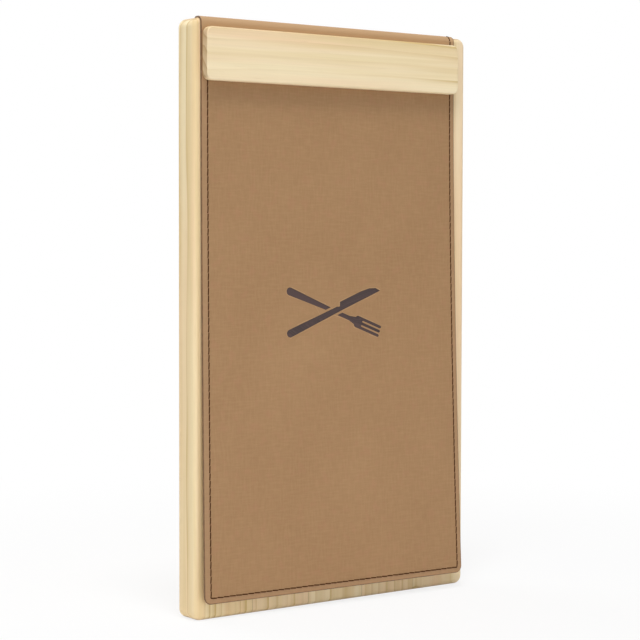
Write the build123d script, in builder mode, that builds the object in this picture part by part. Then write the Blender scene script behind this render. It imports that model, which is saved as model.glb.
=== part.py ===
from build123d import *
from math import pi
import os

# Menu clipboard: a wooden board of edge-glued staves with a leather cover on its front.
# The cover is one long sheet of two stitched layers. Its tail is let into a slot in the board's
# top edge, where screws from the back pin it. From there it rolls over the front of the top
# edge, a wooden clamp bar is fixed on it, and below the bar it hangs free as a flap. Magnets in
# the bar and the board pinch the menu sheets between them.
# X is the width, Y the depth with the front facing -Y, Z the height. The board stands on its
# bottom edge, whose middle is the origin. All sizes are in millimetres.

# Board
board_width = 198.0
board_height = 335.0
board_thickness = 17.0
board_corner_radius = 5.0
board_edge_radius = 2.7
stave_count = 5

# Leather cover: a skin outside and a lining against the wood
skin_thickness = 0.6
lining_thickness = 0.4
cover_width = 183.6
cover_centre_x = -2.9
cover_corner_radius = 4.2
cover_bottom_height = 9.5
roll_top_length = 1.5

# Slot for the tail in the board's top edge, as wide as the leather, its front lip eased
slot_depth = 12.0
slot_lip_radius = 0.4

# The flap has taken a slight twist: its free end stands off the board, more on the right
flap_lift_left = 3.3
flap_lift_right = 9.7
flap_lift_power = 1.5
flap_section_count = 5

# Clamp bar: it spans the leather but for a narrow margin at each side
bar_side_margin = 0.55
bar_height = 29.4
bar_thickness = 5.0
bar_top_drop = 5.1
bar_corner_radius = 4.2
bar_front_edge_radius = 0.9
bar_back_edge_chamfer = 0.5

# Disc magnets, let in flush in the board's front and in the bar's back
magnet_diameter = 10.0
magnet_thickness = 3.0
magnet_spacing = 76.0
magnet_count = 3

# Countersunk screws: the tail's go from the board's back through the slot, the bar's go
# through the leather into the bar
tail_screw_diameter = 3.0
tail_screw_head_diameter = 6.0
tail_screw_head_depth = 1.5
tail_screw_depth = 13.0
tail_screw_spacing = 54.0
tail_screw_count = 4
tail_screw_drop = 7.0
bar_screw_diameter = 2.2
bar_screw_head_diameter = 4.6
bar_screw_depth = 3.4
bar_screw_spacing = 76.0
bar_screw_count = 2
cross_recess_width = 0.7
cross_recess_depth = 0.8
cross_recess_share = 0.55

# Clearances: behind the moving leather, across a hinge line, and over the bar's front
seat_clearance = 0.2
hinge_clearance = 0.2
swing_clearance = 0.4

# Worked out from the sizes above
leather_thickness = skin_thickness + lining_thickness
cover_left = cover_centre_x - cover_width / 2
cover_right = cover_centre_x + cover_width / 2
front = Plane.XZ.offset(board_thickness / 2)
bar_width = cover_width - 2 * bar_side_margin
bar_top = board_height - bar_top_drop
bar_bottom = bar_top - bar_height
bar_middle = bar_top - bar_height / 2
bar_back_offset = seat_clearance + leather_thickness
roll_front_height = board_height - board_edge_radius
roll_back_y = -board_thickness / 2 + board_edge_radius + roll_top_length
slot_front_y = roll_back_y + slot_lip_radius
slot_lip_height = board_height - slot_lip_radius
slot_bottom = board_height - slot_depth

# Hinge lines. The clamp turns about the board's upper front corner, as the roll unwinds there.
# The flap folds up over the bar in half a turn, so its line lies before the middle of the fold.
clamp_hinge_y = -board_thickness / 2
clamp_hinge_height = board_height
fold_radius = bar_thickness / 2 + swing_clearance + leather_thickness / 2
fold_length = pi * fold_radius
flap_hinge_y = -board_thickness / 2 - seat_clearance - leather_thickness / 2 - fold_radius
flap_hinge_height = bar_bottom - fold_length / 2
fold_bottom = bar_bottom - fold_length
flap_top = fold_bottom - hinge_clearance
flap_length = flap_top - cover_bottom_height
stave_width = board_width / stave_count

os.makedirs("parts", exist_ok=True)


def row_positions(count, spacing, centre):
    return [centre + spacing * (index - (count - 1) / 2) for index in range(count)]


magnet_positions = [(x, bar_middle) for x in row_positions(magnet_count, magnet_spacing, cover_centre_x)]
bar_screw_positions = [
    (x, bar_middle) for x in row_positions(bar_screw_count, bar_screw_spacing, cover_centre_x)
]
tail_screw_xs = row_positions(tail_screw_count, tail_screw_spacing, cover_centre_x)
tail_screw_height = board_height - tail_screw_drop

# Each screw is placed by the plane of its head, whose Z points into the wood
tail_screw_heads = [
    Plane(origin=(x, board_thickness / 2, tail_screw_height), z_dir=(0, -1, 0)) for x in tail_screw_xs
]
bar_screw_heads = [
    Plane(origin=(x, -board_thickness / 2 - seat_clearance, z), z_dir=(0, -1, 0))
    for x, z in bar_screw_positions
]


# Board: one blank with its magnet pockets, slot and screw holes, then sawn into its staves
with BuildPart() as board_blank:
    with BuildSketch(front):
        with Locations((0, board_height / 2)):
            RectangleRounded(board_width, board_height, board_corner_radius)
    extrude(amount=-board_thickness)
    fillet(board_blank.faces().sort_by(Axis.Y)[0].edges(), radius=board_edge_radius)
    fillet(board_blank.faces().sort_by(Axis.Y)[-1].edges(), radius=board_edge_radius)
    with BuildSketch(front):
        with Locations(*magnet_positions):
            Circle(magnet_diameter / 2)
    extrude(amount=-magnet_thickness, mode=Mode.SUBTRACT)
    with BuildSketch(Plane.YZ.offset(cover_left)):
        with Locations((roll_back_y, slot_lip_height)):
            Rectangle(slot_lip_radius, slot_lip_radius, align=(Align.MIN, Align.MIN))
            Circle(slot_lip_radius, mode=Mode.SUBTRACT)
        with Locations((slot_front_y, slot_bottom)):
            Rectangle(leather_thickness, slot_depth, align=(Align.MIN, Align.MIN))
    extrude(amount=cover_width, mode=Mode.SUBTRACT)
    with Locations(*tail_screw_heads):
        Cone(
            tail_screw_head_diameter / 2,
            tail_screw_diameter / 2,
            tail_screw_head_depth,
            align=(Align.CENTER, Align.CENTER, Align.MIN),
            mode=Mode.SUBTRACT,
        )
    with Locations(*[head.offset(tail_screw_head_depth) for head in tail_screw_heads]):
        Cylinder(
            tail_screw_diameter / 2,
            tail_screw_depth,
            align=(Align.CENTER, Align.CENTER, Align.MIN),
            mode=Mode.SUBTRACT,
        )

for index, stave_x in enumerate(row_positions(stave_count, stave_width, 0)):
    with BuildPart() as stave:
        add(board_blank.part)
        with Locations((stave_x, 0, board_height / 2)):
            Box(stave_width, board_thickness, board_height, mode=Mode.INTERSECT)
    stave.part.label = f"stave_{index + 1}"
    export_step(stave.part, f"parts/{stave.part.label}.step")


# Magnets: one row in the board, one in the bar, facing each other through the leather
with BuildPart() as board_magnets:
    with BuildSketch(front):
        with Locations(*magnet_positions):
            Circle(magnet_diameter / 2)
    extrude(amount=-magnet_thickness)
board_magnets.part.label = "board_magnets"
export_step(board_magnets.part, "parts/board_magnets.step")

with BuildPart() as bar_magnets:
    with BuildSketch(front.offset(bar_back_offset)):
        with Locations(*magnet_positions):
            Circle(magnet_diameter / 2)
    extrude(amount=magnet_thickness)
bar_magnets.part.label = "bar_magnets"
export_step(bar_magnets.part, "parts/bar_magnets.step")


# Clamp bar: a flat batten with round corners and eased edges
with BuildPart() as clamp_bar:
    with BuildSketch(front.offset(bar_back_offset)):
        with Locations((cover_centre_x, bar_middle)):
            RectangleRounded(bar_width, bar_height, bar_corner_radius)
    extrude(amount=bar_thickness)
    fillet(clamp_bar.faces().sort_by(Axis.Y)[0].edges(), radius=bar_front_edge_radius)
    chamfer(clamp_bar.faces().sort_by(Axis.Y)[-1].edges(), length=bar_back_edge_chamfer)
    with BuildSketch(front.offset(bar_back_offset)):
        with Locations(*magnet_positions):
            Circle(magnet_diameter / 2)
    extrude(amount=magnet_thickness, mode=Mode.SUBTRACT)
    with Locations(*[head.offset(leather_thickness) for head in bar_screw_heads]):
        Cylinder(
            bar_screw_diameter / 2,
            bar_screw_depth,
            align=(Align.CENTER, Align.CENTER, Align.MIN),
            mode=Mode.SUBTRACT,
        )
clamp_bar.part.label = "clamp_bar"
export_step(clamp_bar.part, "parts/clamp_bar.step")


# Screws: a countersunk head with a cross recess, and a shank
def screw_row(heads, diameter, head_diameter, head_depth, depth):
    recess = head_diameter * cross_recess_share
    upward = (Align.CENTER, Align.CENTER, Align.MIN)
    with BuildPart() as screws:
        with Locations(*heads):
            Cone(head_diameter / 2, diameter / 2, head_depth, align=upward)
        with Locations(*[head.offset(head_depth) for head in heads]):
            Cylinder(diameter / 2, depth, align=upward)
        with Locations(*heads):
            Box(recess, cross_recess_width, cross_recess_depth, align=upward, mode=Mode.SUBTRACT)
            Box(cross_recess_width, recess, cross_recess_depth, align=upward, mode=Mode.SUBTRACT)
    return screws


tail_screws = screw_row(
    tail_screw_heads,
    tail_screw_diameter,
    tail_screw_head_diameter,
    tail_screw_head_depth,
    tail_screw_depth,
)
tail_screws.part.label = "tail_screws"
export_step(tail_screws.part, "parts/tail_screws.step")

bar_screws = screw_row(
    bar_screw_heads,
    bar_screw_diameter,
    bar_screw_head_diameter,
    leather_thickness,
    bar_screw_depth,
)
bar_screws.part.label = "bar_screws"
export_step(bar_screws.part, "parts/bar_screws.step")


# The two layers of the leather, each from its inner to its outer face
layers = {
    "lining": (0, lining_thickness),
    "skin": (lining_thickness, leather_thickness),
}

# Tail: a tight bend over the slot's lip and a straight stretch down into the slot
for layer_name, (inner, outer) in layers.items():
    with BuildPart() as tail:
        with BuildSketch(Plane.YZ.offset(cover_left)):
            with Locations((roll_back_y, slot_lip_height)):
                Circle(slot_lip_radius + outer)
                Circle(slot_lip_radius + inner, mode=Mode.SUBTRACT)
                Rectangle(
                    slot_lip_radius + outer,
                    slot_lip_radius + outer,
                    align=(Align.MIN, Align.MIN),
                    mode=Mode.INTERSECT,
                )
            with Locations((slot_front_y + inner, slot_bottom)):
                Rectangle(outer - inner, slot_depth - slot_lip_radius, align=(Align.MIN, Align.MIN))
        extrude(amount=cover_width)
        with Locations(*tail_screw_heads):
            Cylinder(
                tail_screw_diameter / 2,
                tail_screw_head_depth + tail_screw_depth,
                align=(Align.CENTER, Align.CENTER, Align.MIN),
                mode=Mode.SUBTRACT,
            )
    tail.part.label = f"{layer_name}_tail"
    export_step(tail.part, f"parts/{tail.part.label}.step")

# Roll: over the front of the top edge, where the leather bends when the bar is lifted
for layer_name, (inner, outer) in layers.items():
    with BuildPart() as roll:
        with BuildSketch(Plane.YZ.offset(cover_left)):
            with Locations((roll_back_y - roll_top_length, roll_front_height)):
                Circle(board_edge_radius + outer)
                Circle(board_edge_radius + inner, mode=Mode.SUBTRACT)
                Rectangle(
                    board_edge_radius + outer,
                    board_edge_radius + outer,
                    align=(Align.MAX, Align.MIN),
                    mode=Mode.INTERSECT,
                )
            with Locations((roll_back_y, board_height + inner)):
                Rectangle(roll_top_length, outer - inner, align=(Align.MAX, Align.MIN))
        extrude(amount=cover_width)
    roll.part.label = f"{layer_name}_roll"
    export_step(roll.part, f"parts/{roll.part.label}.step")

# Clamped stretch: flat behind the bar, with the countersunk holes of the bar's screws
clamped_top = roll_front_height - hinge_clearance
for layer_name, (inner, outer) in layers.items():
    with BuildPart() as clamped:
        with BuildSketch(front.offset(seat_clearance + inner)):
            with Locations((cover_centre_x, (clamped_top + bar_bottom) / 2)):
                Rectangle(cover_width, clamped_top - bar_bottom)
        extrude(amount=outer - inner)
        with Locations(*bar_screw_heads):
            Cone(
                bar_screw_head_diameter / 2,
                bar_screw_diameter / 2,
                leather_thickness,
                align=(Align.CENTER, Align.CENTER, Align.MIN),
                mode=Mode.SUBTRACT,
            )
    clamped.part.label = f"{layer_name}_clamped"
    export_step(clamped.part, f"parts/{clamped.part.label}.step")

# Fold: the stretch under the bar, long enough to bend round it in half a turn
for layer_name, (inner, outer) in layers.items():
    with BuildPart() as fold:
        with BuildSketch(front.offset(seat_clearance + inner)):
            with Locations((cover_centre_x, (bar_bottom + fold_bottom) / 2)):
                Rectangle(cover_width, fold_length)
        extrude(amount=outer - inner)
    fold.part.label = f"{layer_name}_fold"
    export_step(fold.part, f"parts/{fold.part.label}.step")

# Flap: lofted through level sections that lean out more and more towards the free end,
# then trimmed to its outline with two round lower corners
for layer_name, (inner, outer) in layers.items():
    with BuildPart() as flap:
        for section in range(flap_section_count):
            share = section / (flap_section_count - 1)
            lean = share**flap_lift_power
            y_left = -board_thickness / 2 - seat_clearance - flap_lift_left * lean
            y_right = -board_thickness / 2 - seat_clearance - flap_lift_right * lean
            with BuildSketch(Plane.XY.offset(flap_top - share * flap_length)):
                Polygon(
                    (cover_left, y_left - inner),
                    (cover_right, y_right - inner),
                    (cover_right, y_right - outer),
                    (cover_left, y_left - outer),
                    align=None,
                )
        loft()
        with BuildSketch(front):
            with Locations((cover_centre_x, flap_top)):
                RectangleRounded(cover_width, 2 * flap_length, cover_corner_radius)
        extrude(amount=board_thickness + flap_lift_right, mode=Mode.INTERSECT)
    flap.part.label = f"{layer_name}_flap"
    export_step(flap.part, f"parts/{flap.part.label}.step")

print("clamp hinge y, z:", clamp_hinge_y, clamp_hinge_height)
print("flap hinge y, z:", flap_hinge_y, round(flap_hinge_height, 3))
print("fold from z", bar_bottom, "to", round(fold_bottom, 3), "flap top", round(flap_top, 3))
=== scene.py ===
from math import cos, exp, pi, radians, sin

import bmesh
import bpy
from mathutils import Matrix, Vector, noise


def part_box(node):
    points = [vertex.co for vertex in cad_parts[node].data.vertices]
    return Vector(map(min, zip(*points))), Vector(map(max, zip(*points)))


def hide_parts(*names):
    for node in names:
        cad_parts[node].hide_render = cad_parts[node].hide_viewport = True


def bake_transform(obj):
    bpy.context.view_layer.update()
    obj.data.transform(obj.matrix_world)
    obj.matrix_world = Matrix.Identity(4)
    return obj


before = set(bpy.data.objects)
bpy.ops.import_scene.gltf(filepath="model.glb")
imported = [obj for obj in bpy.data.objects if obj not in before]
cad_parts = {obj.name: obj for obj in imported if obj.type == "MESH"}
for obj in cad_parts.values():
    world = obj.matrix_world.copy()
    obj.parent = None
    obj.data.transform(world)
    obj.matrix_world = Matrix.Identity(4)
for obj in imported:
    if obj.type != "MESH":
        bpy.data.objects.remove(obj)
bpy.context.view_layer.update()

# Camera: a long lens at about two thirds of the board's height, turned to show the left edge
# and the front, and looking very slightly down.
camera_place = (-0.6679, -0.8806, 0.2169)
camera_turn, camera_tilt, camera_roll = 36.953, 2.671, 0.125
focal_length, film_width = 105.86, 36.0
camera_data = bpy.data.cameras.new("camera")
camera_data.lens = focal_length
camera_data.sensor_width = film_width
camera = bpy.data.objects.new("camera", camera_data)
camera.location = camera_place
camera.rotation_euler = (radians(90 - camera_tilt), radians(-camera_roll), radians(-camera_turn))
bpy.context.scene.collection.objects.link(camera)
bpy.context.scene.camera = camera
bpy.context.scene.view_settings.view_transform = "Standard"

# Studio: a white floor that takes a soft shadow, a white surround, two lamps high on the left,
# a weak one low in front, which stands for light thrown up by the table, and one behind.


class Signal:
    """One socket among a finish's nodes. Arithmetic on it adds Math nodes to that finish."""

    def __init__(self, tree, socket=None):
        self.tree = tree
        self.socket = socket

    def node(self, kind, settings=None, inputs=None, output=0):
        """One more node: its settings are set first, then its sockets get values or links. The
        Signal that comes back stands for its output of this number or name."""
        made = self.tree.nodes.new("ShaderNode" + kind)
        for name, value in (settings or {}).items():
            setattr(made, name, value)
        for name, value in (inputs or {}).items():
            if isinstance(value, Signal):
                self.tree.links.new(value.socket, made.inputs[name])
            else:
                made.inputs[name].default_value = value
        return Signal(self.tree, made.outputs[output] if made.outputs else None)

    def math(self, operation, *others):
        return self.node("Math", {"operation": operation}, dict(enumerate((self, *others))))

    def __add__(self, other):
        return self.math("ADD", other)

    def __sub__(self, other):
        return self.math("SUBTRACT", other)

    def __rsub__(self, other):
        return self.node("Math", {"operation": "SUBTRACT"}, {0: other, 1: self})

    def __mul__(self, other):
        return self.math("MULTIPLY", other)

    def __truediv__(self, other):
        return self.math("DIVIDE", other)

    def __pow__(self, other):
        return self.math("POWER", other)

    __radd__ = __add__
    __rmul__ = __mul__

    def step(self, low, high):
        """0 below low and 1 above high, smooth between them."""
        return self.node(
            "MapRange",
            {"interpolation_type": "SMOOTHSTEP"},
            {"Value": self, "From Min": low, "From Max": high},
        )

    def shade(self, low, high):
        """The colour between low and high that this value asks for."""
        return self.node("Mix", {"data_type": "RGBA"}, {0: self, 6: low, 7: high}, output=2)


def seen(red, green, blue):
    """The colour that is seen as these screen values, 0 to 255."""
    levels = [value / 255 for value in (red, green, blue)]
    return [v / 12.92 if v <= 0.04045 else ((v + 0.055) / 1.055) ** 2.4 for v in levels] + [1.0]


def new_finish(name):
    """An empty material, and a Signal that adds nodes to it."""
    material = bpy.data.materials.new(name)
    material.use_nodes = True
    material.node_tree.nodes.clear()
    return material, Signal(material.node_tree)


def background_rays(look):
    """1 for the camera's own rays and those that metal or glass passes on, 0 for all others."""
    rays = look.node("LightPath", output="Is Camera Ray")
    for kind in ("Is Glossy Ray", "Is Transmission Ray"):
        rays = rays.math("MAXIMUM", look.node("LightPath", output=kind))
    return rays


floor_half = 3.0
shadow_near, shadow_far, shadow_share = 0.15, 0.6, 0.2
white, card_white = (1.0, 1.0, 1.0, 1.0), (0.95, 0.95, 0.95, 1.0)
floor_mesh = bpy.data.meshes.new("floor")
floor_corners = [(-1, -1), (1, -1), (1, 1), (-1, 1)]
floor_mesh.from_pydata([(x * floor_half, y * floor_half, 0) for x, y in floor_corners], [], [range(4)])
floor = bpy.data.objects.new("floor", floor_mesh)
bpy.context.scene.collection.objects.link(floor)
floor_finish, look = new_finish("floor_white")
spot = look.node("TexCoord", output="Object")
reach = look.node("VectorMath", {"operation": "LENGTH"}, {0: spot}, output="Value")
card = look.node("BsdfDiffuse", {}, {"Color": card_white})
glow = look.node("Emission", {}, {"Color": white, "Strength": 1.0})
clear = reach.step(shadow_near, shadow_far) * shadow_share + (1 - shadow_share)
mixed = look.node("MixShader", {}, {0: background_rays(look) * clear, 1: card, 2: glow})
look.node("OutputMaterial", {}, {"Surface": mixed})
floor_mesh.materials.append(floor_finish)

world = bpy.data.worlds.new("surround")
bpy.context.scene.world = world
world.use_nodes = True
world.node_tree.nodes.clear()
surround = Signal(world.node_tree)
surround_level = 0.37
brightness = background_rays(surround) * (1 - surround_level) + surround_level
sky = surround.node("Background", {}, {"Color": white, "Strength": brightness})
surround.node("OutputWorld", {}, {"Surface": sky})


def lamp(name, place, aim, size, power):
    """A round lamp turned to its aim, with its size in metres and its power in watts."""
    data = bpy.data.lights.new(name, "AREA")
    data.shape = "DISK"
    data.size = size
    data.energy = power
    made = bpy.data.objects.new(name, data)
    made.location = place
    made.rotation_euler = (Vector(aim) - Vector(place)).to_track_quat("-Z", "Y").to_euler()
    bpy.context.scene.collection.objects.link(made)


board_middle, board_foot = (0, 0, 0.17), (0, 0, 0.0)
lamp("key_lamp", (-1.1, -0.85, 1.6), board_middle, 0.7, 6.3)
lamp("high_lamp", (-0.3, -0.5, 1.8), board_middle, 0.5, 14.5)
lamp("low_lamp", (-0.1, -0.45, 0.03), board_foot, 0.3, 0.35)
lamp("back_lamp", (-0.35, 1.2, 0.9), board_middle, 1.0, 4.5)

# Staves: five strips of pale pine, planed, edge-glued and sanded to one board, with a thin
# clear lacquer. Each strip comes from another plank, so its rings and tone are its own.
mm = 0.001
pine_early = seen(247, 230, 192)
pine_late = seen(214, 184, 120)
pine_flush = seen(244, 214, 174)
pine_yellow = seen(231, 207, 152)
# The end-grain colour is end grain darkened further by painted shade on the end faces.
pine_end_grain_and_shade = seen(190, 159, 117)
pine_fleck = seen(186, 150, 100)
glue_line, glue_core, glue_edge = seen(176, 148, 106), 0.05 * mm, 0.22 * mm
ring_wander = 5.0 * mm


def end_finish(look, sockets):
    """Ends a finish with the one shader that every finish of the object has."""
    shader = look.node("BsdfPrincipled", {}, sockets)
    look.node("OutputMaterial", {}, {"Surface": shader})


def pine(name, grain, pith, ring_width, tone, seed, joints=()):
    """Pine whose fibres run along the axis grain, with rings round a pith given in mm in the
    two other axes. Each ring darkens slowly into its late wood and ends at once. joints are the
    X places of glue lines."""
    finish, look = new_finish(name)
    place = look.node("TexCoord", output="Object")
    parts = [look.node("SeparateXYZ", {}, {0: place}, output=axis) for axis in range(3)]
    length = parts[grain]
    first, second = [parts[axis] for axis in range(3) if axis != grain]

    def streaks(along, across, shift, detail=2.0):
        """Noise with this many waves a metre along the fibres and across them."""
        stretched = look.node(
            "CombineXYZ",
            {},
            {0: first * across + shift, 1: second * across - shift, 2: length * along + seed},
        )
        return look.node("TexNoise", {}, {"Vector": stretched, "Scale": 1.0, "Detail": detail})

    sway = streaks(5.0, 14.0, 3.1) - 0.5
    drift = streaks(3.0, 9.0, 8.7) - 0.5
    out_first = first - pith[0] * mm + sway * ring_wander
    out_second = second - pith[1] * mm + drift * ring_wander
    radius = (out_first * out_first + out_second * out_second) ** 0.5
    ring = radius / (ring_width * mm) + streaks(4.0, 70.0, 5.3) * 1.6
    turn = ring.math("FRACT")
    late = (turn.step(0.1, 0.9) * 0.5 + turn.step(0.7, 0.9) * 0.5) * (1 - turn.step(0.93, 1.0))
    strength = streaks(5.0, 90.0, 1.7).step(0.35, 0.68)
    facing = look.node("SeparateXYZ", {}, {0: look.node("TexCoord", output="Normal")}, output=grain)
    end_face = facing.math("ABSOLUTE").step(0.55, 0.9)
    fibre = streaks(26.0, 1500.0, 0.4, 4.0)
    broad = streaks(4.0, 75.0, 6.6)
    fleck = streaks(45.0, 900.0, 2.2, 1.0).step(0.70, 0.80)
    yellow = streaks(6.0, 210.0, 12.4).step(0.4, 0.7)
    colour = broad.step(0.3, 0.75).shade(pine_early, pine_flush)
    colour = (yellow * 0.5).shade(colour, pine_yellow)
    colour = (late * (strength * 0.85 + 0.15)).shade(colour, pine_late)
    # End faces: darker end grain, with painted shade in the same colour.
    colour = (end_face * (late * 0.4 + 0.6)).shade(colour, pine_end_grain_and_shade)
    colour = (fleck * 0.20).shade(colour, pine_fleck)
    level = (fibre - 0.5) * 0.10 + 1.0
    for joint in joints:
        off = (parts[0] - joint).math("ABSOLUTE")
        colour = ((1 - off.step(glue_core, glue_edge)) * 0.8).shade(colour, glue_line)
    colour = look.node("VectorMath", {"operation": "MULTIPLY"}, {0: colour, 1: tone})
    colour = look.node("VectorMath", {"operation": "SCALE"}, {0: colour, "Scale": level})
    ridges = fibre + late * 0.6 - fleck
    surface = look.node("Bump", {}, {"Strength": 0.25, "Distance": 0.1 * mm, "Height": ridges})
    end_finish(
        look,
        {
            "Base Color": colour,
            "Roughness": fibre * 0.12 + late * -0.05 + 0.46,
            "Normal": surface,
            "Specular IOR Level": 0.4,
        },
    )
    return finish


def dress(name, finish):
    """Puts the finish on a CAD node."""
    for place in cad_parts[name].material_slots:
        place.material = finish


x_axis, z_axis = 0, 2
seed_step = 7.3
# Each strip's pith and ring width, in mm, and its tone.
strips = [
    ((-140, -26), 3.9, (1.03, 1.01, 0.95)),
    ((-95, -60), 5.2, (1.02, 0.995, 0.985)),
    ((40, 55), 5.4, (1.03, 1.02, 1.02)),
    ((100, -50), 4.6, (1.01, 0.98, 0.96)),
    ((60, 95), 5.6, (1.03, 1.0, 1.0)),
]
for index, (pith, ring_width, tone) in enumerate(strips):
    name = f"stave_{index + 1}"
    low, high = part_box(name)
    joints = [low[0]] * (index > 0) + [high[0]] * (index < len(strips) - 1)
    dress(name, pine(f"pine_{name}", z_axis, pith, ring_width, tone, seed_step * index, joints))

# Clamp bar: a planed pine batten with its grain along it and eased edges, lacquered like the
# board. Glue and two screws through the leather hold it.
bar_pith, bar_ring_width, bar_tone, bar_seed = (38, 270), 4.6, (1.04, 1.045, 1.06), 51.0
dress("clamp_bar", pine("pine_clamp_bar", x_axis, bar_pith, bar_ring_width, bar_tone, bar_seed))

# Magnets: sintered discs with nickel plate, pressed into flat-bottomed holes and showing the
# fine turning marks of their faces.
magnet_width, magnet_spacing, turning_pitch = 10.0 * mm, 76.0 * mm, 0.22 * mm
magnet_low, magnet_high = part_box("board_magnets")
nickel, look = new_finish("nickel_plate")
place = look.node("TexCoord", output="Object")
grit = look.node("TexNoise", {}, {"Vector": place, "Scale": 2600.0, "Detail": 3.0})
smear = look.node("TexNoise", {}, {"Vector": place, "Scale": 300.0, "Detail": 2.0})
parts = [look.node("SeparateXYZ", {}, {0: place}, output=axis) for axis in range(3)]
row_place = (parts[0] - (magnet_low[0] + magnet_width / 2)) / magnet_spacing + 0.5
off_side = (row_place.math("FRACT") - 0.5) * magnet_spacing
off_middle = parts[2] - (magnet_low[2] + magnet_high[2]) / 2
radius = (off_side * off_side + off_middle * off_middle) ** 0.5
turned = (radius * (2 * pi / turning_pitch)).math("SINE") * 0.3
shine = look.node("Bump", {}, {"Strength": 0.3, "Distance": 0.01 * mm, "Height": grit * 0.5 + turned})
end_finish(
    look,
    {
        "Base Color": smear.shade(seen(184, 180, 170), seen(202, 198, 188)),
        "Metallic": 1.0,
        "Roughness": smear * 0.08 + 0.26,
        "Normal": shine,
    },
)
dress("board_magnets", nickel)
dress("bar_magnets", nickel)

# Screws: turned brass with countersunk heads and cross recesses, four from the board's back
# through the leather's tail and two through the leather into the bar.
brass, look = new_finish("satin_brass")
place = look.node("TexCoord", output="Object")
haze = look.node("TexNoise", {}, {"Vector": place, "Scale": 700.0, "Detail": 4.0})
lines = look.node("TexNoise", {}, {"Vector": place, "Scale": 5200.0, "Detail": 1.0})
shine = look.node("Bump", {}, {"Strength": 0.25, "Distance": 0.02 * mm, "Height": lines})
end_finish(
    look,
    {
        "Base Color": haze.shade(seen(196, 156, 86), seen(222, 188, 120)),
        "Metallic": 1.0,
        "Roughness": haze * 0.25 + 0.22,
        "Normal": shine,
    },
)
dress("tail_screws", brass)
dress("bar_screws", brass)

# Cover: one long sheet of tan leather, a skin and a lining glued back to back. Its tail is
# screwed fast in a slot in the board's top edge, and it rolls over the edge and hangs down the
# front. It is laid out flat first: x across, along from the tail, depth off the wood.
board_low, board_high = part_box("stave_1")
board_front, board_top = board_low[1], board_high[2]
board_edge_round, slot_lip_round = 2.7 * mm, 0.4 * mm
cover_left, cover_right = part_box("skin_fold")[0][0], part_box("skin_fold")[1][0]
roll_back, slot_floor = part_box("skin_roll")[1][1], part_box("lining_tail")[0][2]
flap_top, flap_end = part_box("lining_flap")[1][2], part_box("skin_flap")[0][2]
bar_bottom, fold_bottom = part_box("clamp_bar")[0][2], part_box("lining_fold")[0][2]
seat_gap = board_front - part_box("lining_clamped")[1][1]
lining_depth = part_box("lining_clamped")[1][1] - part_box("lining_clamped")[0][1]
sheet_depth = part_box("lining_clamped")[1][1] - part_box("skin_clamped")[0][1]
lift_left, lift_right, lift_power = 3.3 * mm, 9.7 * mm, 1.5
corner_round = 4.2 * mm

lip_start = board_top - slot_lip_round - slot_floor
lip_end = lip_start + slot_lip_round * pi / 2
top_end = lip_end + roll_back - board_front - board_edge_round
front_start = top_end + board_edge_round * pi / 2


def along_at(height):
    """How far along the flat sheet the place lies that hangs at this height on the front."""
    return front_start + board_top - board_edge_round - height


# The sheet has an upper and a lower stretch, which meet behind the bar.
joint_above_bar_bottom = 5.0 * mm
split = along_at(bar_bottom) - joint_above_bar_bottom
bar_start = along_at(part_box("clamp_bar")[1][2])
sheet_end = along_at(flap_end)


def smooth(share):
    """0 up to a share of 0 and 1 from a share of 1, smooth between them."""
    share = min(max(share, 0.0), 1.0)
    return share * share * (3 - 2 * share)


def sheet_place(x, along, depth):
    """Where a point of the flat sheet comes to lie on the board."""
    if along < lip_start:
        return Vector((x, roll_back + slot_lip_round + depth, slot_floor + along))
    if along < lip_end:
        turn, reach = (along - lip_start) / slot_lip_round, slot_lip_round + depth
        return Vector((x, roll_back + reach * cos(turn), board_top - slot_lip_round + reach * sin(turn)))
    if along < top_end:
        return Vector((x, roll_back - (along - lip_end), board_top + depth))
    if along < front_start:
        turn, reach = (along - top_end) / board_edge_round, board_edge_round + depth
        y = board_front + board_edge_round - (reach + seat_gap * smooth(turn / (pi / 2))) * sin(turn)
        return Vector((x, y, board_top - board_edge_round + reach * cos(turn)))
    height = board_top - board_edge_round - (along - front_start)
    share = max(0.0, (flap_top - height) / (flap_top - flap_end))
    across = (x - cover_left) / (cover_right - cover_left)
    lift = (lift_left + (lift_right - lift_left) * across) * share**lift_power
    return Vector((x, board_front - seat_gap - lift - depth, height))


def spaced(start, end, step):
    """Even places from the start, about a step apart, without the end itself."""
    count = max(1, round(abs(end - start) / step))
    return [start + (end - start) * index / count for index in range(count)]


seam_inset, seam_inset_left = 3.3 * mm, 4.1 * mm
seam_left, seam_right = cover_left + seam_inset_left, cover_right - seam_inset
seam_end = sheet_end - seam_inset
# Columns and rows of the sheet's mesh lie closer together at its cut edges, seams and bends.
open_step, tail_step, bar_step = 6 * mm, 3 * mm, 2.5 * mm
lip_step, top_step, roll_step, fold_step = 0.1 * mm, 0.5 * mm, 0.4 * mm, 0.5 * mm
past_seam, past_fold = 2 * mm, 1 * mm
edge_steps = [step * mm for step in (0, 0.12, 0.3, 0.6, 1.0, 1.6, 2.2, 2.6, 2.9, 3.2, 3.5, 3.8)]
edge_steps.append(corner_round)
columns = [cover_left + step for step in edge_steps[:-1]]
columns += [cover_left + corner_round + step * mm for step in (0, 0.3, 0.6, 1.0)]
columns += spaced(cover_left + corner_round + past_seam, cover_right - corner_round, open_step)
columns += [cover_right - step for step in reversed(edge_steps)]
upper_rows = edge_steps[:-1] + spaced(corner_round, lip_start, tail_step)
upper_rows += spaced(lip_start, lip_end, lip_step) + spaced(lip_end, top_end, top_step)
upper_rows += spaced(top_end, front_start, roll_step) + spaced(front_start, split, bar_step) + [split]
fold_start = split + joint_above_bar_bottom
fold_end = fold_start + bar_bottom - fold_bottom
lower_rows = spaced(split, fold_start, bar_step) + spaced(fold_start, fold_end + past_fold, fold_step)
lower_rows += spaced(fold_end + past_fold, sheet_end - corner_round, open_step)
lower_rows += [sheet_end - step for step in reversed(edge_steps)]


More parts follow.
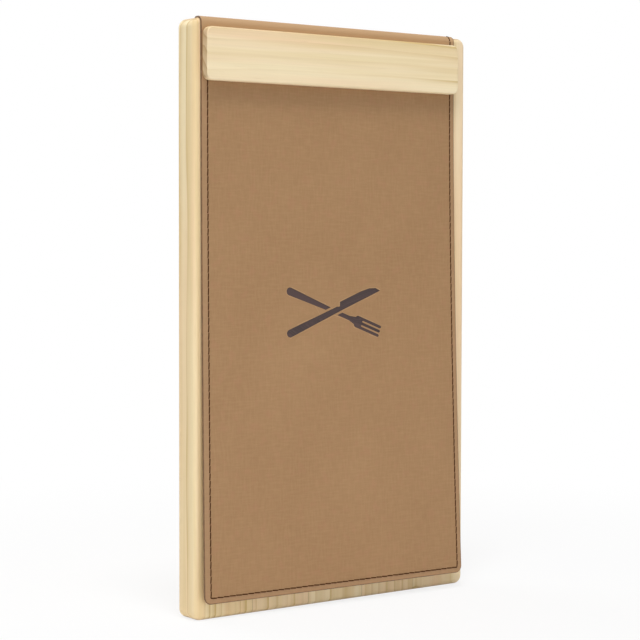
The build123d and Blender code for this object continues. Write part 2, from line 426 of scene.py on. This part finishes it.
def in_corner(x, along, cut):
    """The flat place with the sheet's corner rounded off, and its distance from the cut edge."""
    side = min(x - cover_left, cover_right - x)
    end = abs(along - cut)
    if side >= corner_round or end >= corner_round:
        return x, along, min(side, end)
    out, down = corner_round - side, corner_round - end
    reach = max(out, down)
    if reach > 0:
        turn = pi / 4 * down / out if out >= down else pi / 2 - pi / 4 * out / down
        out, down = reach * cos(turn), reach * sin(turn)
    if x - cover_left < corner_round:
        x = cover_left + corner_round - out
    else:
        x = cover_right - corner_round + out
    along = cut + (corner_round - down) * (1 if cut == 0 else -1)
    return x, along, corner_round - reach


def add_piece(name, points, faces, finishes):
    """A mesh of these points and faces, with its finishes."""
    mesh = bpy.data.meshes.new(name)
    mesh.from_pydata(points, [], faces)
    piece = bpy.data.objects.new(name, mesh)
    bpy.context.scene.collection.objects.link(piece)
    for finish in finishes:
        mesh.materials.append(finish)
    return piece


def lay_flat_values(piece, name, kind, values):
    """Keeps a value for each point, so that the finish stays with the leather as it bends."""
    kept = piece.data.attributes.new(name, kind, "POINT")
    if kind == "FLOAT":
        kept.data.foreach_set("value", values)
    else:
        kept.data.foreach_set("vector", [part for value in values for part in value])


def leather_layer(name, rows, cut, inner, outer, finish):
    """A closed layer between two depths, each a function of the distances from the cut edge
    and, towards the middle of the sheet, from the seam."""
    points, flats, insides = [], [], []
    for face in (outer, inner):
        for row in rows:
            for column in columns:
                x, along, edge = in_corner(column, row, cut)
                insides.append(min(x - seam_left, seam_right - x, seam_end - along))
                depth = face(edge, insides[-1])
                points.append(sheet_place(x, along, depth))
                flats.append((x, along, depth))
    wide, high = len(columns), len(rows)
    layer = wide * high

    def corner(row, column):
        return row * wide + column

    faces = []
    for row in range(high - 1):
        for column in range(wide - 1):
            quad = [
                corner(row, column),
                corner(row, column + 1),
                corner(row + 1, column + 1),
                corner(row + 1, column),
            ]
            faces.append(quad[::-1])
            faces.append([index + layer for index in quad])
    smooth_faces = len(faces)
    rim = [corner(0, column) for column in range(wide)]
    rim += [corner(row, wide - 1) for row in range(1, high)]
    rim += [corner(high - 1, column) for column in range(wide - 2, -1, -1)]
    rim += [corner(row, 0) for row in range(high - 2, 0, -1)]
    for here, there in zip(rim, rim[1:] + rim[:1]):
        faces.append([here, there, there + layer, here + layer])
    piece = add_piece(name, points, faces, [finish])
    for index, face in enumerate(piece.data.polygons):
        face.use_smooth = index < smooth_faces
    lay_flat_values(piece, "flat", "FLOAT_VECTOR", flats)
    lay_flat_values(piece, "inside", "FLOAT", insides)
    return piece


edge_sink, edge_sink_width = 0.14 * mm, 0.7 * mm
groove_sink, groove_width = 0.1 * mm, 0.45 * mm


def skin_face(edge, inside):
    """The skin's outer face: eased at the cut edge and pulled down along the seam."""
    eased = edge_sink * max(0.0, 1 - edge / edge_sink_width) ** 2
    return sheet_depth - eased - lining_face(edge, inside)


def lining_face(edge, inside):
    """The lining's outer face, which only the seam pulls in."""
    return groove_sink * exp(-((inside / groove_width) ** 2))


def glue_face(edge, inside):
    """Where skin and lining are glued together."""
    return lining_depth


# The third colour is a painted highlight for the leather bent over the board's top edge, where it faces
# the light from above.
tan_blotch, tan_rim, tan_bend_highlight = seen(176, 128, 96), seen(184, 150, 118), seen(192, 155, 115)
rim_from, rim_to = -0.6 * mm, 0.3 * mm
above_bar, behind_bar = 1 * mm, 3 * mm


def leather(name, light, dark, weave):
    """Coated leather with a fine linen emboss of this depth. Its crossed threads stay with the
    flat sheet, and it is paler outside the seam. Over the board's top edge it gets a painted highlight."""
    finish, look = new_finish(name)
    flat = look.node("Attribute", {"attribute_name": "flat"}, output="Vector")
    inside = look.node("Attribute", {"attribute_name": "inside"}, output="Fac")
    parts = [look.node("SeparateXYZ", {}, {0: flat}, output=axis) for axis in range(3)]

    def threads(across, along, shift, detail=2.0):
        """Noise with this many waves a metre across the sheet and along it."""
        place = {0: parts[0] * across + shift, 1: parts[1] * along, 2: shift}
        drawn_out = look.node("CombineXYZ", {}, place)
        return look.node("TexNoise", {}, {"Vector": drawn_out, "Scale": 1.0, "Detail": detail})

    warp = threads(2600.0, 170.0, 0.0)
    weft = threads(170.0, 2600.0, 4.0)
    pebble = threads(2400.0, 2400.0, 9.0, 3.0)
    upright, level = threads(820.0, 120.0, 13.0), threads(120.0, 820.0, 17.0)
    slub = upright.step(0.35, 0.75) * 0.5 + level.step(0.35, 0.75) * 0.5
    broad = threads(22.0, 16.0, 21.0)
    blotch = threads(190.0, 150.0, 27.0).step(0.5, 0.72)
    relief = warp * 0.5 + weft * 0.5
    tone = (relief - 0.5) * 0.35 + (slub - 0.4) * 0.34 + (broad - 0.5) * 0.4 + 0.5
    colour = tone.step(0.0, 1.0).shade(dark, light)
    colour = (blotch * 0.3).shade(colour, tan_blotch)
    rim = 1 - inside.step(rim_from, rim_to)
    colour = (rim * 0.25).shade(colour, tan_rim)
    hidden = parts[1].step(bar_start - above_bar, bar_start + behind_bar)
    # Painted highlight: from the slot's lip over the board's top edge and down to the bar, the leather
    # is made paler, as if lit from above. Behind the bar the highlight stops.
    bend_highlight = parts[1].step(lip_start, top_end) * (1 - hidden)
    colour = bend_highlight.shade(colour, tan_bend_highlight)
    emboss = relief + slub * 0.4 + pebble * 0.35
    surface = look.node("Bump", {}, {"Strength": 0.35, "Distance": weave, "Height": emboss})
    end_finish(
        look,
        {
            "Base Color": colour,
            "Roughness": pebble * 0.12 + 0.55,
            "Normal": surface,
            "Specular IOR Level": 0.3,
        },
    )
    return finish


tan_skin = leather("tan_skin", seen(178, 141, 101), seen(158, 121, 83), 0.04 * mm)
tan_lining = leather("tan_lining", seen(166, 132, 95), seen(150, 116, 80), 0.03 * mm)
skin_upper = leather_layer("skin_upper", upper_rows, 0, glue_face, skin_face, tan_skin)
lining_upper = leather_layer("lining_upper", upper_rows, 0, lining_face, glue_face, tan_lining)
skin_lower = leather_layer("skin_lower", lower_rows, sheet_end, glue_face, skin_face, tan_skin)
lining_lower = leather_layer("lining_lower", lower_rows, sheet_end, lining_face, glue_face, tan_lining)
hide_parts("skin_tail", "skin_roll", "skin_clamped")
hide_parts("lining_tail", "lining_roll", "lining_clamped")
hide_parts("skin_fold", "skin_flap")
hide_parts("lining_fold", "lining_flap")

# Mark: a crossed fork and knife pressed hot into the skin, which leaves a dark, slightly
# sunken print. The places below are along and across each piece of cutlery, in mm.
mark_inset, mark_height, mark_slant = 91.0 * mm, 171.0 * mm, radians(21)
mark_middle = (cover_left + mark_inset, along_at(mark_height))
mark_half, print_depth, print_off_seam = 36.0, 0.22 * mm, 90 * mm
knife_bar, fork_bar, crossing_gap = 1.7, 1.3, 1.3
crease = radians(30)


def round_end(centre, radius, start, turn, steps=8):
    """Points of an arc that begins at the angle start and turns on, both in degrees."""
    return [
        (
            centre[0] + radius * cos(radians(start + turn * index / steps)),
            centre[1] + radius * sin(radians(start + turn * index / steps)),
        )
        for index in range(steps + 1)
    ]


def slanted_cut(side, across):
    """How far from the crossing the fork's bar stops short of the knife, at this place across."""
    clear = knife_bar + crossing_gap
    return (side * clear + across * cos(2 * mark_slant)) / sin(2 * mark_slant)


handle_round, tine_half, tine_gap = 2.3, 0.85, 2.65
knife = round_end((handle_round - mark_half, 0), handle_round, 90, 180)
knife += [(0, -knife_bar), (3, -knife_bar), (4, -1.2), (5, -1.0), (6, -3.4)]
knife += [(mark_half - 14, -3.4), (mark_half - 7, -2.7), (mark_half - 2.5, -1.0)]
knife += [(mark_half, 1.6), (5, 1.6), (3, knife_bar), (0, knife_bar)]
fork_handle = round_end((handle_round - mark_half, 0), handle_round, 90, 180)
fork_handle += [(slanted_cut(-1, -fork_bar), -fork_bar), (slanted_cut(-1, fork_bar), fork_bar)]
fork_head = [(slanted_cut(1, fork_bar), fork_bar), (slanted_cut(1, -fork_bar), -fork_bar)]
fork_head += [(12, -fork_bar)] + round_end((18, -tine_gap + 1.0), tine_half + 1.0, -160, 70, 4)
for tine in (-1, 0, 1):
    middle = tine * tine_gap
    fork_head += round_end((mark_half - tine_half, middle), tine_half, -90, 180, 6)
    if tine < 1:
        fork_head += round_end((22, middle + tine_gap / 2), tine_gap / 2 - tine_half, 270, -180, 4)
fork_head += round_end((18, tine_gap - 1.0), tine_half + 1.0, 90, 70, 4) + [(12, fork_bar)]


def closed_block(name, points, finishes):
    """A block between two outlines of as many points, which follow each other in points."""
    count = len(points) // 2
    faces = [list(range(count))[::-1], list(range(count, 2 * count))]
    faces += [[i, (i + 1) % count, (i + 1) % count + count, i + count] for i in range(count)]
    return add_piece(name, points, faces, finishes)


def turn_faces_out(piece, caps=0):
    """Turns a closed piece's faces outward, and cuts its first few, the caps, into triangles."""
    form = bmesh.new()
    form.from_mesh(piece.data)
    bmesh.ops.triangulate(form, faces=form.faces[:caps])
    bmesh.ops.recalc_face_normals(form, faces=form.faces)
    form.to_mesh(piece.data)
    form.free()


def print_cutter(name, outline, slant, flip):
    """A closed block over the outline, from the print's floor to above the skin. A flip of -1
    turns the outline over."""
    points, flats = [], []
    for depth in (sheet_depth - print_depth, sheet_depth + print_depth):
        for along, across in outline:
            x = mark_middle[0] + (along * cos(slant) - flip * across * sin(slant)) * mm
            up = (along * sin(slant) + flip * across * cos(slant)) * mm
            points.append(sheet_place(x, mark_middle[1] - up, depth))
            flats.append((x, mark_middle[1] - up, depth))
    cutter = closed_block(name, points, [tan_skin, burnt])
    lay_flat_values(cutter, "flat", "FLOAT_VECTOR", flats)
    lay_flat_values(cutter, "inside", "FLOAT", [print_off_seam] * len(points))
    for face in cutter.data.polygons:
        face.material_index = 1
    turn_faces_out(cutter, caps=2)
    return cutter


def cut_away(piece, cutters):
    """Takes the cutters' blocks out of a piece, for good."""
    for cutter in cutters:
        cut = piece.modifiers.new(cutter.name, "BOOLEAN")
        cut.operation = "DIFFERENCE"
        cut.solver = "EXACT"
        cut.object = cutter
    bpy.context.view_layer.update()
    shown = piece.evaluated_get(bpy.context.evaluated_depsgraph_get())
    shaped = bpy.data.meshes.new_from_object(shown)
    piece.modifiers.clear()
    piece.data = shaped
    form = bmesh.new()
    form.from_mesh(shaped)
    for edge in form.edges:
        edge.smooth = edge.calc_face_angle(0) < crease
    form.to_mesh(shaped)
    form.free()
    for cutter in cutters:
        bpy.data.objects.remove(cutter)


burnt, look = new_finish("burnt_leather")
flat = look.node("Attribute", {"attribute_name": "flat"}, output="Vector")
scorch = look.node("TexNoise", {}, {"Vector": flat, "Scale": 900.0, "Detail": 4.0})
pits = look.node("Bump", {}, {"Strength": 0.4, "Distance": 0.05 * mm, "Height": scorch})
end_finish(
    look,
    {
        "Base Color": scorch.step(0.3, 0.7).shade(seen(50, 34, 33), seen(72, 52, 50)),
        "Roughness": scorch * 0.2 + 0.4,
        "Normal": pits,
    },
)

skin_lower.data.materials.append(burnt)
cut_away(
    skin_lower,
    [
        print_cutter("knife_print", knife, mark_slant, -1),
        print_cutter("fork_handle_print", fork_handle, -mark_slant, 1),
        print_cutter("fork_head_print", fork_head, -mark_slant, 1),
    ],
)

# Screw holes: two countersunk ones behind the bar, and four plain ones where the screws from
# the board's back pass through the tail. All are punched through both layers.
hole_sides, hole_spare = 48, 0.03 * mm


def screw_hole(name, centre, length, wide, narrow):
    """A round block along Y from its wide end at the centre to its narrow end."""
    points = []
    for y, radius in ((centre[1], wide / 2), (centre[1] + length, narrow / 2)):
        for index in range(hole_sides):
            turn = 2 * pi * index / hole_sides
            reach = radius + hole_spare
            points.append((centre[0] + reach * cos(turn), y, centre[2] + reach * sin(turn)))
    cutter = closed_block(name, points, [tan_skin])
    turn_faces_out(cutter)
    return cutter


def row_of_holes(screws, count, head, start, length, wide, narrow):
    """A hole for each of a row of screws, from Y at the start and this long. Screw heads of the
    width head reach the ends of the row."""
    low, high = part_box(screws)
    reach = high[0] - low[0] - head
    middle = (low[2] + high[2]) / 2
    return [
        screw_hole(
            f"{screws}_hole_{index}",
            (low[0] + head / 2 + reach * index / (count - 1), start, middle),
            length,
            wide,
            narrow,
        )
        for index in range(count)
    ]


tail_head, tail_shank, bar_head, bar_shank = 6.0 * mm, 3.0 * mm, 4.6 * mm, 2.2 * mm
tail_front = roll_back + slot_lip_round - hole_spare
bar_back = board_front - seat_gap + hole_spare
through = sheet_depth + 2 * hole_spare
for piece in (skin_upper, lining_upper):
    tail_holes = row_of_holes("tail_screws", 4, tail_head, tail_front, through, tail_shank, tail_shank)
    bar_holes = row_of_holes("bar_screws", 2, bar_head, bar_back, -through, bar_head, bar_shank)
    cut_away(piece, tail_holes + bar_holes)

# Edge paint: dark acrylic brushed on the cut edge, where it seals both layers in one rounded
# bead and laps a little way over each face. The bead's outline gives the distance off the cut
# edge, in mm, and the share of the sheet's depth.
paint_section = [(-0.35, 0.985), (-0.2, 0.98), (-0.06, 0.94), (0.05, 0.84), (0.1, 0.68), (0.12, 0.5)]
paint_section += [(0.1, 0.32), (0.05, 0.16), (-0.05, 0.06), (-0.2, 0.02), (-0.35, 0.02), (-0.35, 0.5)]


def side_run(rows, side):
    """Flat places along one side of the sheet, each with the direction that points off it."""
    edge = cover_left if side < 0 else cover_right
    return [((edge, row), (side, 0)) for row in rows]


corner_steps, same_place = 10, 0.01 * mm


def free_end_run(rows):
    """The same round the free end, from the left side over both corners to the right side."""
    turn_at = sheet_end - corner_round
    side_rows = [row for row in rows if row < turn_at - same_place]
    bends = []
    for side, sign in ((cover_left, -1), (cover_right, 1)):
        centre = side - sign * corner_round
        arc = []
        for index in range(corner_steps + 1):
            turn = pi / 2 * index / corner_steps
            out, down = cos(turn) * sign, sin(turn)
            arc.append(((centre + out * corner_round, turn_at + down * corner_round), (out, down)))
        bends.append(arc)
    across = spaced(cover_left + corner_round, cover_right - corner_round, open_step)[1:]
    bottom = [((x, sheet_end), (0, 1)) for x in across]
    return side_run(side_rows, -1) + bends[0] + bottom + bends[1][::-1] + side_run(side_rows[::-1], 1)


def edge_bead(name, runs, finish):
    """One closed bead along each run of flat places."""
    points, flats, faces = [], [], []
    ring = len(paint_section)
    for run in runs:
        base = len(points)
        for (x, along), (out_x, out_along) in run:
            for out, depth in paint_section:
                flat = (x + out * out_x * mm, along + out * out_along * mm, depth * sheet_depth)
                points.append(sheet_place(*flat))
                flats.append(flat)
        for step in range(len(run) - 1):
            low, high = base + step * ring, base + (step + 1) * ring
            for index in range(ring):
                there = (index + 1) % ring
                faces.append([low + index, low + there, high + there, high + index])
        faces += [list(range(base, base + ring)), list(range(len(points) - ring, len(points)))]
    bead = add_piece(name, points, faces, [finish])
    turn_faces_out(bead)
    for face in bead.data.polygons:
        face.use_smooth = len(face.vertices) == 4
    lay_flat_values(bead, "flat", "FLOAT_VECTOR", flats)
    return bead


edge_paint, look = new_finish("edge_paint")
flat = look.node("Attribute", {"attribute_name": "flat"}, output="Vector")
brushed = look.node("TexNoise", {}, {"Vector": flat, "Scale": 350.0, "Detail": 3.0})
ripple = look.node("Bump", {}, {"Strength": 0.4, "Distance": 0.08 * mm, "Height": brushed})
end_finish(
    look,
    {
        "Base Color": brushed.step(0.3, 0.7).shade(seen(106, 76, 48), seen(130, 96, 64)),
        "Roughness": brushed * 0.2 + 0.35,
        "Normal": ripple,
    },
)
open_rows = [row for row in upper_rows if row >= lip_start]
bead_upper = edge_bead("edge_paint_upper", [side_run(open_rows, -1), side_run(open_rows, 1)], edge_paint)
bead_lower = edge_bead("edge_paint_lower", [free_end_run(lower_rows)], edge_paint)

# Seam: a lockstitch in dark brown waxed thread along both sides and the free end, which holds
# the two layers together. Each stitch dives into its hole and lies a little slanted.
stitch_pitch, thread_half, stitch_slant, back_sink = 4.1 * mm, 0.3 * mm, 0.3 * mm, 0.1 * mm
# Rings of thread along a stitch: the share of its length, and the rise off the leather in mm.
# The thread is slim where it dives into its holes.
stitch_rings = [(0.0, -0.35), (0.03, -0.06), (0.09, 0.07), (0.28, 0.13), (0.5, 0.15)]
stitch_rings += [(0.72, 0.13), (0.91, 0.07), (0.97, -0.06), (1.0, -0.35)]
thread_sides, thread_turns, thread_plies = 8, 2.2, 3
slim, slim_share = 0.75, 0.05
wander_share, wander_step, wander_scale = 0.6, 0.37, 9.0


def seam(name, corners_of_runs, finish):
    """A thread on each face of the sheet for every stitch of these straight runs."""
    points, faces, twists, flats = [], [], [], []
    for start, end in corners_of_runs:
        run = Vector(end) - Vector(start)
        count = round(run.length / stitch_pitch)
        step = run / count
        side = Vector((-step.y, step.x)).normalized()
        for index in range(count):
            for face, level in ((1, sheet_depth - groove_sink), (-1, groove_sink)):
                base = len(points)
                spot = Vector((start[0], start[1] + index * wander_step, face))
                wander = noise.noise(spot * wander_scale) * wander_share
                for share, rise in stitch_rings:
                    middle = Vector(start) + step * (index + share)
                    middle += side * (share - 0.5) * stitch_slant * (1 + wander)
                    height = level + face * (rise * mm - (back_sink if face < 0 else 0))
                    narrow = slim if min(share, 1 - share) < slim_share else 1.0
                    for corner in range(thread_sides):
                        turn = 2 * pi * corner / thread_sides
                        place = middle + side * thread_half * narrow * cos(turn)
                        flat = (place.x, place.y, height + thread_half * narrow * sin(turn))
                        points.append(sheet_place(*flat))
                        flats.append(flat)
                        twists.append(share * thread_turns + corner / thread_sides)
                for ring in range(len(stitch_rings) - 1):
                    for corner in range(thread_sides):
                        there = (corner + 1) % thread_sides
                        low, high = base + ring * thread_sides, base + (ring + 1) * thread_sides
                        faces.append([low + corner, low + there, high + there, high + corner])
                last = base + (len(stitch_rings) - 1) * thread_sides
                faces.append([base + corner for corner in range(thread_sides)][::-1])
                faces.append([last + corner for corner in range(thread_sides)])
    thread = add_piece(name, points, faces, [finish])
    turn_faces_out(thread)
    for face in thread.data.polygons:
        face.use_smooth = True
    lay_flat_values(thread, "twist", "FLOAT", twists)
    lay_flat_values(thread, "flat", "FLOAT_VECTOR", flats)
    return thread


waxed, look = new_finish("waxed_thread")
twist = look.node("Attribute", {"attribute_name": "twist"}, output="Fac")
flat = look.node("Attribute", {"attribute_name": "flat"}, output="Vector")
ply = (twist * (thread_plies * 2 * pi)).math("SINE") * 0.5 + 0.5
fuzz = look.node("TexNoise", {}, {"Vector": flat, "Scale": 6000.0, "Detail": 2.0})
strands = look.node("Bump", {}, {"Strength": 0.6, "Distance": 0.05 * mm, "Height": ply + fuzz * 0.4})
end_finish(
    look,
    {
        "Base Color": (ply * 0.7 + fuzz * 0.3).shade(seen(44, 17, 2), seen(82, 42, 12)),
        "Roughness": fuzz * 0.2 + 0.6,
        "Normal": strands,
        "Specular IOR Level": 0.1,
    },
)
seam_upper = seam(
    "seam_upper",
    [((seam_left, split), (seam_left, bar_start)), ((seam_right, split), (seam_right, top_end))],
    waxed,
)
seam_lower = seam(
    "seam_lower",
    [
        ((seam_left, split), (seam_left, seam_end)),
        ((seam_left, seam_end), (seam_right, seam_end)),
        ((seam_right, seam_end), (seam_right, split)),
    ],
    waxed,
)

# The sheet: its tail is fast to the board, the stretch behind the bar is held by the bar, and the rest
# is the flap.
# Here each piece, with its edge paint and seam, has its placing baked into its mesh.
for piece in (skin_upper, lining_upper, bead_upper, seam_upper):
    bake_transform(piece)
for piece in (skin_lower, lining_lower, bead_lower, seam_lower):
    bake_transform(piece)
for piece, length, trim in (
    (skin_upper, split, [bead_upper, seam_upper]),
    (lining_upper, split, []),
    (skin_lower, sheet_end - split, [bead_lower, seam_lower]),
    (lining_lower, sheet_end - split, []),
):
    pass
